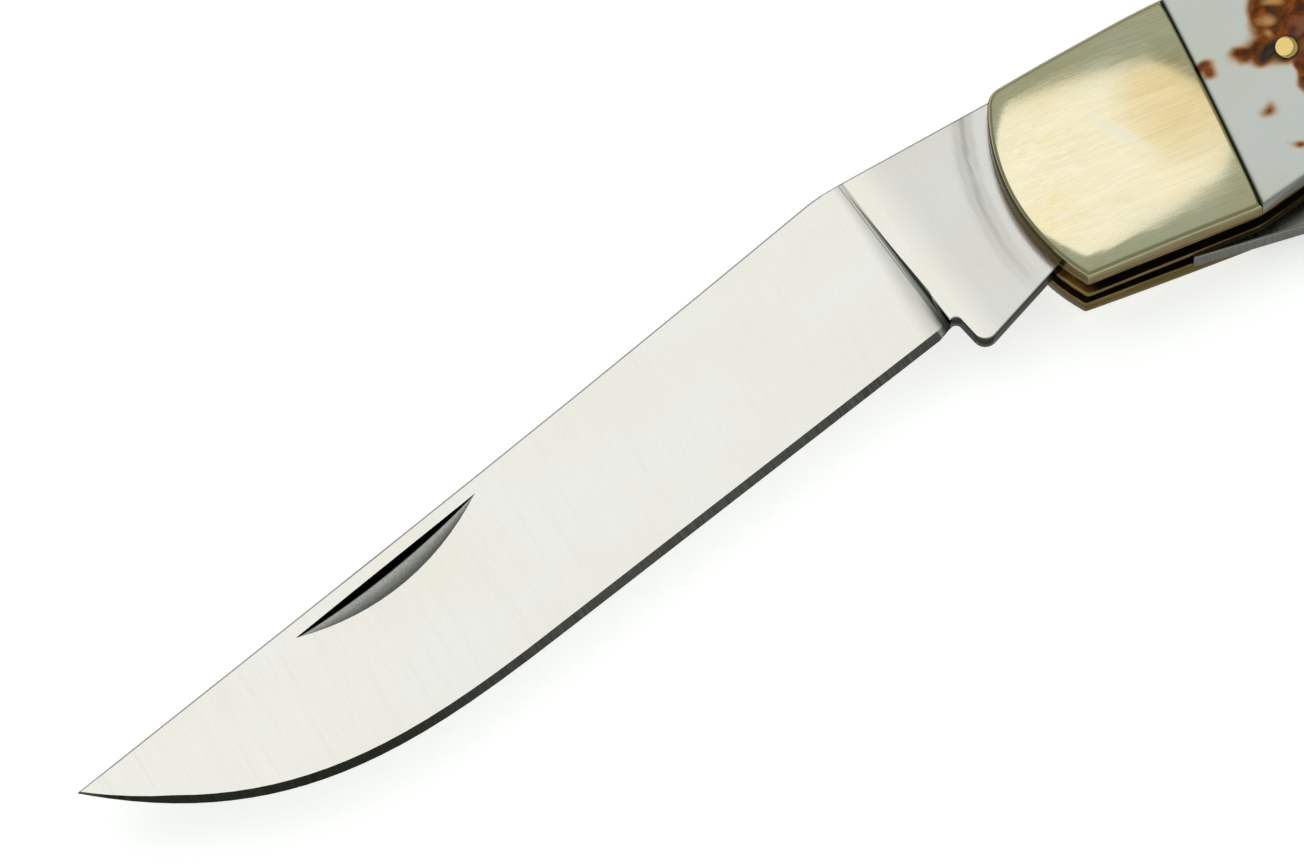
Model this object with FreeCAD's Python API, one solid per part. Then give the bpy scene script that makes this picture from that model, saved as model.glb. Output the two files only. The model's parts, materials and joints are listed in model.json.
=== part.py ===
import FreeCAD, Part
import math
import os

# Folding pocket knife with two blades on one pivot, lying on its pile side (millimetres, degrees).
# The pivot pin stands at x = 0, y = 0 while the pieces are made: x runs to the butt, y to the back.

# Stack of layers, from the pile side up to the mark side
cover_thickness = 2.7
liner_thickness = 0.6
slot_width = 2.2
blade_side_play = 0.05

# Handle plan: stations run along the curved back from the pivot, depths go in from the back
back_radius = 400.0
pivot_depth = 8.3
handle_front = 8.17
handle_rear = 100.0
front_nose_depth = 8.3
front_top_setback = 2.85
front_heel_setback = 1.85
front_heel_depth = 15.95
pile_heel_lift = 0.25
front_hump_depth = 17.7
front_bolster_end = 9.33
waist_depth = 15.1
rear_hump_depth = 17.7
rear_bolster_length = 18.0
butt_top_setback = 3.0
butt_mid_depth = 9.0
butt_heel_setback = 4.2
butt_heel_depth = 16.7
bolster_end_rake = 1.26
front_top_round = 1.6
front_heel_round = 0.4
hump_round = 6.0
butt_round = 6.0

# Crowned faces of bolsters and scales
crown_flat_start = 6.5
crown_flat_width = 4.8
crown_round = 40.0
crown_turn = 18.0
bolster_rim_round = 0.35
scale_rim_round = 0.35
bolster_seam = 0.06

# Tang, shared by both blades
tang_end = 4.5
tang_corner_round = 1.0
shoulder_reach = 4.14
shoulder_gap = 0.08
seat_gap = 0.03
kick_gap = 0.05
kick_reach = 15.3
kick_round = 1.0
kick_front_slope = 78.5
kick_rear_slope = 19.0
tang_relief = 0.25
choil_slope = 27.0
choil_round = 0.48
edge_clearance = 1.2

# Blades: reaches go forward from the pivot
tip_room = 10.33
spine_break = 19.9
spine_break_round = 12.0
spine_droop = 10.05
spine_hollow = 0.3
heel_reach = 17.48
heel_drop = 5.61
main_edge_fall = 9.1
main_belly_length = 37.67
main_belly_pull = 14.1
main_tip_pull = 16.3
main_tip_sweep = 41.3
spey_tip_setback = 4.5
spey_drop_length = 10.0
spey_drop_slope = 33.0
spey_edge_fall = 8.5
spey_belly_length = 20.0
spey_belly_pull = 9.0
spey_tip_pull = 5.2
spey_tip_sweep = 61.0

# Blade grinding
grind_half_edge = 0.2
grind_slope = 0.055
bevel_half_land = 0.03
bevel_slope = 0.317
plunge_top_reach = 17.65
plunge_rake = 6.0
plunge_round = 0.7

# Nail nick
nick_reach = 61.95
nick_below_spine = 1.04
nick_length = 17.9
nick_height = 1.95
nick_depth = 0.62
nick_draft = 0.4

# Springs, pins and studs
spring_depth = 3.2
spring_nose_depth = 3.92
pivot_pin_radius = 1.5
pivot_play = 0.03
spring_pin_radius = 0.8
spring_pin_station = 42.0
rear_pin_setback = 8.5
scale_pin_radius = 0.72
scale_pin_depth = 8.0
scale_pin_margin = 6.27
scale_pin_proud = 0.2
pin_fit = 0.01
stud_radius = 0.9
front_stud_station = 4.6
rear_stud_setback = 13.6
stud_depths = (4.4, 13.4)

# Levels of the stack
pile_liner_level = cover_thickness
pile_slot_level = pile_liner_level + liner_thickness
centre_liner_level = pile_slot_level + slot_width
mark_slot_level = centre_liner_level + liner_thickness
mark_liner_level = mark_slot_level + slot_width
mark_cover_level = mark_liner_level + liner_thickness
top_level = mark_cover_level + cover_thickness

# Places worked out from the sizes above
blade_thickness = slot_width - 2 * blade_side_play
blade_reach = handle_rear - tip_room
front_hump_station = front_bolster_end - bolster_end_rake
rear_bolster_start = handle_rear - rear_bolster_length
rear_hump_station = rear_bolster_start + bolster_end_rake
spring_pin_depth = spring_depth / 2
spring_seat = pivot_depth - spring_nose_depth - seat_gap
far = 2 * handle_rear

# How close a searched edge must lie, and how far a measured belly may leave its curve
near = 0.01
belly_chord_error = 0.002


def point(x, y, z=0.0):
    return FreeCAD.Vector(x, y, z)


def on_handle(station, depth):
    turn = station / back_radius
    reach = back_radius - depth
    return point(reach * math.sin(turn), pivot_depth - back_radius + reach * math.cos(turn))


def heading(angle):
    return point(math.cos(math.radians(angle)), math.sin(math.radians(angle)))


def line(start, end):
    return Part.makeLine(start, end)


def arc(start, middle, end):
    return Part.Arc(start, middle, end).toShape()


def bezier(poles):
    curve = Part.BezierCurve()
    curve.setPoles(poles)
    return curve.toShape()


def face_of(edges):
    return Part.Face(Part.Wire(edges))


def rod(place, radius, low, high):
    return Part.makeCylinder(radius, high - low, point(place.x, place.y, low))


def plate(face, low, high):
    return face.translated(point(0, 0, low)).extrude(point(0, 0, high - low))


def round_corner(solid, corner, radius):
    # rounds the upright edge of a plate that stands at the corner
    def stands_there(edge):
        middle = edge.CenterOfMass
        upright = math.hypot(edge.BoundBox.XLength, edge.BoundBox.YLength) < near
        return upright and math.hypot(middle.x - corner.x, middle.y - corner.y) < near
    return solid.makeFillet(radius, [edge for edge in solid.Edges if stands_there(edge)])


def lowest_face(solid):
    return min(solid.Faces, key=lambda face: face.CenterOfMass.z)


def handle_face(heel_lift):
    # plan of one layer; the lift rounds its front lower corner off more
    front_top = on_handle(front_top_setback - handle_front, 0)
    front_nose = on_handle(-handle_front, front_nose_depth)
    front_heel = on_handle(front_heel_setback - handle_front, front_heel_depth - heel_lift)
    front_hump = on_handle(front_hump_station, front_hump_depth)
    waist = on_handle((front_hump_station + rear_hump_station) / 2, waist_depth)
    rear_hump = on_handle(rear_hump_station, rear_hump_depth)
    butt_heel = on_handle(handle_rear - butt_heel_setback, butt_heel_depth)
    butt_mid = on_handle(handle_rear, butt_mid_depth)
    butt_top = on_handle(handle_rear - butt_top_setback, 0)
    back_mid = on_handle(handle_rear / 2, 0)
    outline = face_of([
        arc(front_top, back_mid, butt_top),
        arc(butt_top, butt_mid, butt_heel),
        line(butt_heel, rear_hump),
        arc(rear_hump, waist, front_hump),
        line(front_hump, front_heel),
        arc(front_heel, front_nose, front_top),
    ])
    block = plate(outline, 0, cover_thickness)
    roundings = [
        (front_top, front_top_round),
        (front_heel, front_heel_round),
        (front_hump, hump_round),
        (rear_hump, hump_round),
        (butt_heel, butt_round),
        (butt_top, butt_round),
    ]
    for corner, radius in roundings:
        block = round_corner(block, corner, radius)
    return lowest_face(block)


def crown_envelope():
    # one ring about the centre of the back's curve, domed on both sides, that all covers are cut from
    flat = crown_flat_width / 2
    middle = pivot_depth - crown_flat_start - flat

    def on_crown(turn, upper, inner):
        offset = flat + crown_round * math.sin(math.radians(turn))
        drop = crown_round * (1 - math.cos(math.radians(turn)))
        return point(0, middle + (offset if upper else -offset), drop if inner else top_level - drop)

    def crown(upper, inner):
        return [on_crown(turn, upper, inner) for turn in (0, crown_turn / 2, crown_turn)]
    corners = [crown(True, True), crown(True, False)[::-1], crown(False, False), crown(False, True)[::-1]]
    edges = [arc(*corner) for corner in corners]
    for corner, following in zip(corners, corners[1:] + corners[:1]):
        edges.append(line(corner[2], following[0]))
    axis_foot = point(0, pivot_depth - back_radius)
    start_turn = math.degrees(2 * handle_front / back_radius)
    sweep = math.degrees((3 * handle_front + handle_rear) / back_radius)
    section = face_of(Part.__sortEdges__(edges))
    section.rotate(axis_foot, point(0, 0, 1), start_turn)
    return section.revolve(axis_foot, point(0, 0, 1), -sweep)


def beside(place, along, side):
    # a tall block that fills one side of the line through the place
    start = place - along * far
    end = place + along * far
    corners = [start, end, end + side * far, start + side * far, start]
    return plate(Part.Face(Part.makePolygon(corners)), -far, far)


def end_cut(station_at_back, rake, ahead):
    # everything on one side of the slanted line where a bolster meets its scale
    high = on_handle(station_at_back, 0)
    low = on_handle(station_at_back + rake, front_hump_depth)
    along = (low - high).normalize()
    forward = point(along.y, -along.x)
    return beside(high, along, forward if ahead else -forward)


def middle_of(face):
    low_u, high_u, low_v, high_v = face.ParameterRange
    return (low_u + high_u) / 2, (low_v + high_v) / 2


def round_rim(cover, joint, radius):
    # eases every edge where the crowned face meets an upright wall, away from the joint with the liner
    def on_rim(edge):
        walls = cover.ancestorsOfType(edge, Part.Face)
        upright = [face for face in walls if abs(face.normalAt(*middle_of(face)).z) < near]
        away = min(abs(vertex.Z - joint) for vertex in edge.Vertexes) > near
        return len(upright) == 1 and away
    return cover.makeFillet(radius, [edge for edge in cover.Edges if on_rim(edge)])


def stud_places(front):
    station = front_stud_station if front else handle_rear - rear_stud_setback
    return [on_handle(station, depth) for depth in stud_depths]


def spring_pin_place():
    return on_handle(spring_pin_station, spring_pin_depth)


def rear_pin_place():
    return on_handle(handle_rear - rear_pin_setback, spring_pin_depth)


def scale_pin_places():
    front = on_handle(front_bolster_end + scale_pin_margin, scale_pin_depth)
    rear = on_handle(rear_bolster_start - scale_pin_margin, scale_pin_depth)
    return [front, rear]


def drilled(solid, places, radius):
    for place in places:
        solid = solid.cut(rod(place, radius, -far, far))
    return solid


def bolster(handle, envelope, mark, front):
    low = mark_cover_level if mark else 0
    joint = mark_cover_level if mark else cover_thickness
    stud_low = mark_liner_level if mark else pile_liner_level
    body = plate(handle, low, low + cover_thickness).common(envelope)
    if front:
        body = body.common(end_cut(front_bolster_end, -bolster_end_rake, True))
    else:
        body = body.common(end_cut(rear_bolster_start, bolster_end_rake, False))
    body = round_rim(body, joint, bolster_rim_round)
    studs = [rod(place, stud_radius, stud_low, stud_low + liner_thickness) for place in stud_places(front)]
    body = body.fuse(studs).removeSplitter()
    if front:
        return drilled(body, [point(0, 0)], pivot_pin_radius + pin_fit)
    return drilled(body, [rear_pin_place()], spring_pin_radius + pin_fit)


def scale(handle, envelope, mark):
    low = mark_cover_level if mark else 0
    joint = mark_cover_level if mark else cover_thickness
    body = plate(handle, low, low + cover_thickness).common(envelope)
    body = body.common(end_cut(front_bolster_end + bolster_seam, -bolster_end_rake, False))
    body = body.common(end_cut(rear_bolster_start - bolster_seam, bolster_end_rake, True))
    body = round_rim(body, joint, scale_rim_round)
    body = drilled(body, scale_pin_places(), scale_pin_radius + pin_fit)
    return drilled(body, [spring_pin_place()], spring_pin_radius + pin_fit)


def liner(handle, low, outer):
    body = plate(handle, low, low + liner_thickness)
    body = drilled(body, [point(0, 0)], pivot_pin_radius + pin_fit)
    body = drilled(body, [spring_pin_place(), rear_pin_place()], spring_pin_radius + pin_fit)
    if outer:
        body = drilled(body, scale_pin_places(), scale_pin_radius + pin_fit)
        body = drilled(body, stud_places(True) + stud_places(False), stud_radius + pin_fit)
    return body


def spring(handle, low):
    # follows the back; its nose has a flat underside that the tang rests against
    under = pivot_depth - spring_nose_depth
    drop = pivot_depth - back_radius - under
    front = point(-far, under)
    meeting = point(math.sqrt((back_radius - spring_depth) ** 2 - drop ** 2), under)
    middle = on_handle(handle_rear / 2, spring_depth)
    rear = on_handle(2 * handle_rear, spring_depth)
    room = face_of([
        line(front, meeting),
        arc(meeting, middle, rear),
        line(rear, point(rear.x, -far)),
        line(point(rear.x, -far), point(-far, -far)),
        line(point(-far, -far), front),
    ])
    body = plate(handle, low, low + slot_width).cut(plate(room, low, low + slot_width))
    body = body.cut(beside(point(shoulder_gap - shoulder_reach, 0), point(0, 1), point(-1, 0)))
    return drilled(body, [spring_pin_place(), rear_pin_place()], spring_pin_radius + pin_fit)


def spine_height(reach):
    return pivot_depth - math.tan(math.radians(spine_droop)) * (reach - spine_break)


def edge_height(reach, fall):
    return -heel_drop - math.tan(math.radians(fall)) * (reach - heel_reach)


def belly_curve(tip, fall, length, pull, tip_pull, tip_sweep):
    start = point(tip.x + length, edge_height(-tip.x - length, fall))
    return [start, start + heading(180 + fall) * pull, tip + heading(-tip_sweep) * tip_pull, tip]


def main_tip():
    return point(-blade_reach, spine_height(blade_reach))


def main_belly():
    return belly_curve(main_tip(), main_edge_fall, main_belly_length, main_belly_pull, main_tip_pull,
                       main_tip_sweep)


def spey_drop_start():
    reach = blade_reach - spey_tip_setback - spey_drop_length
    return point(-reach, spine_height(reach))


def spey_tip():
    fall = math.tan(math.radians(spey_drop_slope)) * spey_drop_length
    return spey_drop_start() + point(-spey_drop_length, -fall)


def spey_belly():
    return belly_curve(spey_tip(), spey_edge_fall, spey_belly_length, spey_belly_pull, spey_tip_pull,
                       spey_tip_sweep)


def folded_lean(belly):
    # the lean at which the folded edge passes the spring with the edge clearance
    centre = back_radius - pivot_depth
    inside = back_radius - spring_depth - edge_clearance
    needed = []
    for place in bezier(belly).discretize(Deflection=belly_chord_error):
        reach = math.hypot(place.x, place.y)
        sine = (inside ** 2 - reach ** 2 - centre ** 2) / (2 * reach * centre)
        needed.append(math.degrees(math.atan2(-place.y, -place.x) - math.asin(sine)))
    return max(needed)


closing_angle = 180 - max(folded_lean(main_belly()), folded_lean(spey_belly()))


def kick_corner():
    # the rounded kick just misses the spring's underside when the blade is folded
    across = heading(90 - closing_angle)
    along = heading(180 - closing_angle) * -1
    centre = across * (spring_seat - kick_gap - kick_round) + along * kick_reach
    half = (180 - kick_front_slope - kick_rear_slope) / 2
    toward = heading(kick_rear_slope + half)
    return centre - toward * (kick_round / math.sin(math.radians(half)))


def choil_corner(heel, kick):
    # the notch between the edge and the kick, where the heel's slope meets the kick's front
    front = math.radians(kick_front_slope)
    across = (kick.x - heel.x) * math.sin(front) + (kick.y - heel.y) * math.cos(front)
    return heel + heading(choil_slope) * (across / math.sin(front + math.radians(choil_slope)))


def tang_edges(heel):
    across = heading(90 - closing_angle)

    def on_rest(x):
        height = spring_seat - tang_relief
        return point(x, (across.x * x - height) / -across.y)
    kick = kick_corner()
    choil = choil_corner(heel, kick)
    flank_x = -shoulder_reach - tang_corner_round
    flank_y = kick.y + math.tan(math.radians(kick_rear_slope)) * (flank_x - kick.x)
    places = [
        heel,
        choil,
        kick,
        point(flank_x, flank_y),
        on_rest(-pivot_pin_radius),
        on_rest(tang_end),
        point(tang_end, spring_seat),
        point(-shoulder_reach, spring_seat),
        point(-shoulder_reach, pivot_depth),
        point(-spine_break, pivot_depth),
    ]
    edges = [line(start, end) for start, end in zip(places, places[1:])]
    roundings = [
        (choil, choil_round),
        (kick, kick_round),
        (places[5], tang_corner_round),
        (places[6], tang_corner_round),
        (places[9], spine_break_round),
    ]
    return edges, roundings


def grind(belly, fall, start_half, slope, level, side):
    # the room that the grinding wheel takes away above one face of the blade
    tall = 2 * (pivot_depth + heel_drop)
    heel_end = point(0, edge_height(0, fall))
    past_tip = belly[3] + (belly[3] - belly[2]).normalize() * pivot_depth
    start = face_of([
        line(heel_end, belly[0]),
        bezier(belly),
        line(belly[3], past_tip),
        line(past_tip, point(past_tip.x, -far)),
        line(point(past_tip.x, -far), point(0, -far)),
        line(point(0, -far), heel_end),
    ])
    start.translate(point(0, 0, level + side * start_half))
    tool = start.extrude(point(0, tall, side * slope * tall))
    return tool.common(beside(plunge_top(), heading(plunge_rake - 90), point(-1, 0)))


def plunge_top():
    return point(-plunge_top_reach, pivot_depth)


def ease_plunge(tool):
    # rounds the foot of the plunge, where the wheel's corner ran
    def off_wall(vertex):
        return abs((vertex.Point - plunge_top()).dot(heading(plunge_rake))) > near

    def slants_on_wall(edge):
        on_wall = not any(off_wall(vertex) for vertex in edge.Vertexes)
        return on_wall and edge.BoundBox.ZLength > near and edge.BoundBox.YLength > near
    foot = max(filter(slants_on_wall, tool.Edges), key=lambda edge: edge.CenterOfMass.y)
    return tool.makeFillet(plunge_round, [foot])


def nick_tool(fall, level, side):
    # a wheel tipped into the face: straight upper wall, ramp that runs out in a curve
    ramp = nick_depth / nick_height - grind_slope
    tilt = math.atan(ramp)
    wheel = nick_length ** 2 / (8 * nick_depth * math.cos(tilt))
    room = nick_length
    tool = Part.makeCylinder(wheel, 2 * wheel, point(0, 0, -wheel))
    tool.rotate(point(0, 0), point(1, 0, 0), 90 - math.degrees(tilt))
    tool.translate(point(0, 0, wheel / math.cos(tilt) - nick_depth))
    wall = [
        point(-room, nick_draft * room, room),
        point(-room, -nick_draft * room, -room),
        point(-room, -room, -room),
        point(-room, -room, room),
    ]
    tool = tool.common(Part.Face(Part.makePolygon(wall + wall[:1])).extrude(point(2 * room, 0, 0)))
    if side < 0:
        tool = tool.mirror(point(0, 0), point(0, 0, 1))
    place = point(-nick_reach, spine_height(nick_reach) - spine_hollow - nick_below_spine)
    face_half = grind_half_edge + grind_slope * (place.y - edge_height(nick_reach, fall))
    tool.rotate(point(0, 0), point(0, 0, 1), spine_droop)
    return tool.translated(place + point(0, 0, level + side * face_half))


def blade(spine_edges, belly, fall, low, nick_side):
    heel = point(-heel_reach, edge_height(heel_reach, fall))
    tang, roundings = tang_edges(heel)
    edges = tang + spine_edges + [bezier(list(reversed(belly))), line(belly[0], heel)]
    body = plate(face_of(edges), low, low + blade_thickness)
    for corner, radius in roundings:
        body = round_corner(body, corner, radius)
    level = low + blade_thickness / 2
    for side in (1, -1):
        body = body.cut(ease_plunge(grind(belly, fall, grind_half_edge, grind_slope, level, side)))
        body = body.cut(grind(belly, fall, bevel_half_land, bevel_slope, level, side))
    body = body.cut(nick_tool(fall, level, nick_side))
    return body.cut(rod(point(0, 0), pivot_pin_radius + pivot_play, low, low + blade_thickness))


def main_blade():
    start, tip = point(-spine_break, pivot_depth), main_tip()
    hollow = (start + tip) * 0.5 - heading(90 + spine_droop) * spine_hollow
    low = mark_slot_level + blade_side_play
    return blade([arc(start, hollow, tip)], main_belly(), main_edge_fall, low, 1)


def spey_blade():
    start, drop, tip = point(-spine_break, pivot_depth), spey_drop_start(), spey_tip()
    low = pile_slot_level + blade_side_play
    body = blade([line(start, drop), line(drop, tip)], spey_belly(), spey_edge_fall, low, -1)
    body.rotate(point(0, 0), point(0, 0, 1), closing_angle)
    return body


def through_pin(envelope, place, radius):
    # its ends are dressed flush with the crowned faces on both sides
    return rod(place, radius, -cover_thickness, top_level + cover_thickness).common(envelope)


def scale_pin(place, mark):
    if not mark:
        return rod(place, scale_pin_radius, 0, pile_slot_level)
    body = rod(place, scale_pin_radius, mark_liner_level, top_level + scale_pin_proud)
    head = max(body.Edges, key=lambda edge: edge.CenterOfMass.z)
    return body.makeFillet(scale_pin_proud, [head])


def pieces():
    envelope = crown_envelope()
    mark_face = handle_face(0)
    pile_face = handle_face(pile_heel_lift)
    made = {
        "mark_front_bolster": bolster(mark_face, envelope, True, True),
        "mark_rear_bolster": bolster(mark_face, envelope, True, False),
        "pile_front_bolster": bolster(pile_face, envelope, False, True),
        "pile_rear_bolster": bolster(pile_face, envelope, False, False),
        "mark_scale": scale(mark_face, envelope, True),
        "pile_scale": scale(pile_face, envelope, False),
        "mark_liner": liner(mark_face, mark_liner_level, True),
        "centre_liner": liner(mark_face, centre_liner_level, False),
        "pile_liner": liner(pile_face, pile_liner_level, True),
        "main_spring": spring(mark_face, mark_slot_level),
        "spey_spring": spring(pile_face, pile_slot_level),
        "main_blade": main_blade(),
        "spey_blade": spey_blade(),
        "pivot_pin": through_pin(envelope, point(0, 0), pivot_pin_radius),
        "spring_pin": through_pin(envelope, spring_pin_place(), spring_pin_radius),
        "rear_pin": through_pin(envelope, rear_pin_place(), spring_pin_radius),
    }
    for name, place in zip(("front", "rear"), scale_pin_places()):
        made["mark_" + name + "_scale_pin"] = scale_pin(place, True)
        made["pile_" + name + "_scale_pin"] = scale_pin(place, False)
    return made


made = pieces()
box = Part.makeCompound(list(made.values())).optimalBoundingBox(False, False)
shift = point(-(box.XMin + box.XMax) / 2, -(box.YMin + box.YMax) / 2, -box.ZMin)
os.makedirs("parts", exist_ok=True)
for name, shape in made.items():
    shape.translated(shift).exportStep("parts/" + name + ".step")
    print(name, len(shape.Solids), round(shape.Volume, 2), shape.isValid())
print("closing angle", round(closing_angle, 3))
print("pivot", round(shift.x, 4), round(shift.y, 4))
centre_pin = spring_pin_place() + shift
print("spring pin", round(centre_pin.x, 4), round(centre_pin.y, 4))
print("size", round(box.XLength, 2), round(box.YLength, 2), round(box.ZLength, 2))
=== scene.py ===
import bmesh
import bpy
import json
import math
from mathutils import Matrix, Vector


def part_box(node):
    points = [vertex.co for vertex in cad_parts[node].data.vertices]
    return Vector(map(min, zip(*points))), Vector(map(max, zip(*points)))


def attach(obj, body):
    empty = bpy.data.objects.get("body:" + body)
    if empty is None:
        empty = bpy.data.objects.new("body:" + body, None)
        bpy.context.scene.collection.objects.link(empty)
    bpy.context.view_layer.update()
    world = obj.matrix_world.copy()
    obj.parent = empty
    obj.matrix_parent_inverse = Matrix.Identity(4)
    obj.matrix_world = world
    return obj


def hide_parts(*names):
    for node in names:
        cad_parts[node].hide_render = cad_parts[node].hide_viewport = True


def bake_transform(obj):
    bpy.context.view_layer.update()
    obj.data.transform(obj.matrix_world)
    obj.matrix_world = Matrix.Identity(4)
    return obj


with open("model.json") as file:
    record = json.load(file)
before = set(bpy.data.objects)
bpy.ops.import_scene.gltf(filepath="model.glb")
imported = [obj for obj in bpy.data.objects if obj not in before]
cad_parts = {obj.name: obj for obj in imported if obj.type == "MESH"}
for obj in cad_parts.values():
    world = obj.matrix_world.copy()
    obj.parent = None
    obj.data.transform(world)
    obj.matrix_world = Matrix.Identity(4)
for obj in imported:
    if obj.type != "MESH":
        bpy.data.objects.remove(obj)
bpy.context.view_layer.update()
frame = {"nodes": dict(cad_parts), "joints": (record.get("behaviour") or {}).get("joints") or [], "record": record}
nodes = frame["nodes"]
joints = {joint["name"]: joint for joint in frame["joints"]}
mm = 0.001
tiny = 0.001 * mm  # points nearer than this are one point
level = 0.01 * mm  # faces nearer than this lie at one height
pivot = Vector(joints["main_blade_pivot"]["pos_m"])
pivot.z = 0
closingTurn = math.radians(joints["main_blade_pivot"]["range_deg"][1])
bodyOf = {node: body for body, group in frame["record"]["behaviour"]["bodies"].items() for node in group}
slotOf = {entry["node"]: entry["material_slot"] for entry in frame["record"]["subparts"]}
print("frame loaded:", len(nodes), "nodes")


# node helpers, all lengths in millimetres

grazingTint = (0.4, 0.39, 0.37)  # keeps the metal walls from whitening where they are seen edge on
noiseSpan = (0.3, 0.7)  # most of a noise lies between these
noiseMiddle = 0.5


def startMaterial(name, metallic=0.0, roughness=0.5):
    material = bpy.data.materials.new(name)
    material.use_nodes = True
    tree = material.node_tree
    shader = tree.nodes["Principled BSDF"]
    shader.inputs["Metallic"].default_value = metallic
    shader.inputs["Roughness"].default_value = roughness
    if metallic:
        shader.inputs["Specular Tint"].default_value = (*grazingTint, 1)
    return material, tree, shader


def plug(tree, socket, value):
    # a socket is linked, anything else is set as the value
    if isinstance(value, bpy.types.NodeSocket):
        tree.links.new(value, socket)
    else:
        socket.default_value = value


def mathNode(tree, operation, *values):
    node = tree.nodes.new("ShaderNodeMath")
    node.operation = operation
    for socket, value in zip(node.inputs, values):
        plug(tree, socket, value)
    return node.outputs[0]


def product(tree, first, second):
    return mathNode(tree, "MULTIPLY", first, second)


def blended(tree, share, first, second):
    # a share of the first and the rest of the second
    return mathNode(tree, "MULTIPLY_ADD", first, share, product(tree, second, 1 - share))


def squareSum(tree, first, second):
    return mathNode(tree, "MULTIPLY_ADD", first, first, product(tree, second, second))


def between(tree, value, low, high, lowOut=0.0, highOut=1.0):
    # a smooth step of the value from low to high
    node = tree.nodes.new("ShaderNodeMapRange")
    node.interpolation_type = "SMOOTHSTEP"
    plug(tree, node.inputs["Value"], value)
    for socket, number in zip(("From Min", "From Max", "To Min", "To Max"), (low, high, lowOut, highOut)):
        node.inputs[socket].default_value = number
    return node.outputs["Result"]


def ramp(tree, value, stops):
    # stops are (place, colour)
    node = tree.nodes.new("ShaderNodeValToRGB")
    plug(tree, node.inputs["Fac"], value)
    elements = node.color_ramp.elements
    while len(elements) < len(stops):
        elements.new(0.5)
    for element, (spot, shade) in zip(elements, stops):
        element.position = spot
        element.color = (*shade, 1)
    return node.outputs["Color"]


def mixColour(tree, factor, low, high, blend="MIX"):
    # sockets 6 and 7 are the node's two colours, output 2 is the mixed one
    node = tree.nodes.new("ShaderNodeMix")
    node.data_type = "RGBA"
    node.blend_type = blend
    plug(tree, node.inputs["Factor"], factor)
    plug(tree, node.inputs[6], low if isinstance(low, bpy.types.NodeSocket) else (*low, 1))
    plug(tree, node.inputs[7], high if isinstance(high, bpy.types.NodeSocket) else (*high, 1))
    return node.outputs[2]


def tinted(tree, factor, colour, tint):
    return mixColour(tree, factor, colour, tint, "MULTIPLY")


def mapped(tree, vector, centre=(0, 0, 0), turn=0.0, lengths=(1, 1, 1), kind="TEXTURE"):
    # a vector seen from a centre, turned about z and measured in these lengths
    node = tree.nodes.new("ShaderNodeMapping")
    node.inputs["Location"].default_value = centre
    node.inputs["Rotation"].default_value = (0, 0, turn)
    node.inputs["Scale"].default_value = lengths
    node.vector_type = kind  # set last, because a direction has no location socket
    tree.links.new(vector, node.inputs["Vector"])
    return node.outputs["Vector"]


def place(tree, turn=0.0):
    # object coordinates from the pivot, in millimetres, turned with a blade that lies folded at rest
    return mapped(tree, tree.nodes.new("ShaderNodeTexCoord").outputs["Object"], pivot, turn, (mm, mm, mm))


def grain(tree, where, lengths, detail, roughness, distortion=0.0, turn=0.0):
    # noise whose grains have these lengths along x, y and z
    node = tree.nodes.new("ShaderNodeTexNoise")
    tree.links.new(mapped(tree, where, turn=turn, lengths=lengths), node.inputs["Vector"])
    node.inputs["Scale"].default_value = 1
    node.inputs["Detail"].default_value = detail
    node.inputs["Roughness"].default_value = roughness
    node.inputs["Distortion"].default_value = distortion
    return node.outputs["Fac"]


def split(tree, vector):
    node = tree.nodes.new("ShaderNodeSeparateXYZ")
    tree.links.new(vector, node.inputs["Vector"])
    return node.outputs["X"], node.outputs["Y"], node.outputs["Z"]


def facing(tree, turn=0.0):
    # how far a face looks up or down, to the back and to the butt, in the turned frame of the piece
    normal = tree.nodes.new("ShaderNodeTexCoord").outputs["Normal"]
    butt, back, up = split(tree, mapped(tree, normal, turn=-turn, kind="VECTOR"))
    return mathNode(tree, "ABSOLUTE", up), back, butt


def finishMetal(tree, shader, colour, rough, marks, depth):
    # colour and roughness, and the tool marks as a fine relief
    plug(tree, shader.inputs["Base Color"], colour)
    plug(tree, shader.inputs["Roughness"], rough)
    relief = tree.nodes.new("ShaderNodeBump")
    relief.inputs["Distance"].default_value = depth * mm
    plug(tree, relief.inputs["Height"], marks)
    plug(tree, shader.inputs["Normal"], relief.outputs["Normal"])


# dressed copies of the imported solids

creaseRule = {
    "flatTurn": math.radians(0.2),
    "roundTurn": math.radians(38),
    "plainTurn": math.radians(30),
    "strip": 0.1 * mm,
    "reach": 1.0,
    "wallSlope": 0.1,
    "flatSlope": 0.9,
    "flatWeight": 100,
}


def copyOf(name):
    # the solid's loose triangles, merged, with the flats made whole again
    shape = bmesh.new()
    shape.from_mesh(nodes[name].data)
    bmesh.ops.remove_doubles(shape, verts=shape.verts, dist=tiny)
    bmesh.ops.dissolve_limit(shape, angle_limit=creaseRule["flatTurn"], verts=shape.verts, edges=shape.edges)
    return shape


def isWall(face):
    return abs(face.normal.z) < creaseRule["wallSlope"]


def outlineEdges(shape, leastHeight):
    # edges between a flat and an upright wall at least this high
    found = []
    for edge in shape.edges:
        walls = [face for face in edge.link_faces if isWall(face)]
        if len(edge.link_faces) == 2 and len(walls) == 1:
            heights = [vert.co.z for vert in walls[0].verts]
            flat = [face for face in edge.link_faces if face not in walls][0]
            if max(heights) - min(heights) > leastHeight and abs(flat.normal.z) > creaseRule["flatSlope"]:
                found.append(edge)
    return found


def ease(shape, edges, width, segments=2):
    bmesh.ops.bevel(shape, geom=edges, offset=width, offset_type="OFFSET", segments=segments, profile=0.5,
                    affect="EDGES", clamp_overlap=False, material=-1)


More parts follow.
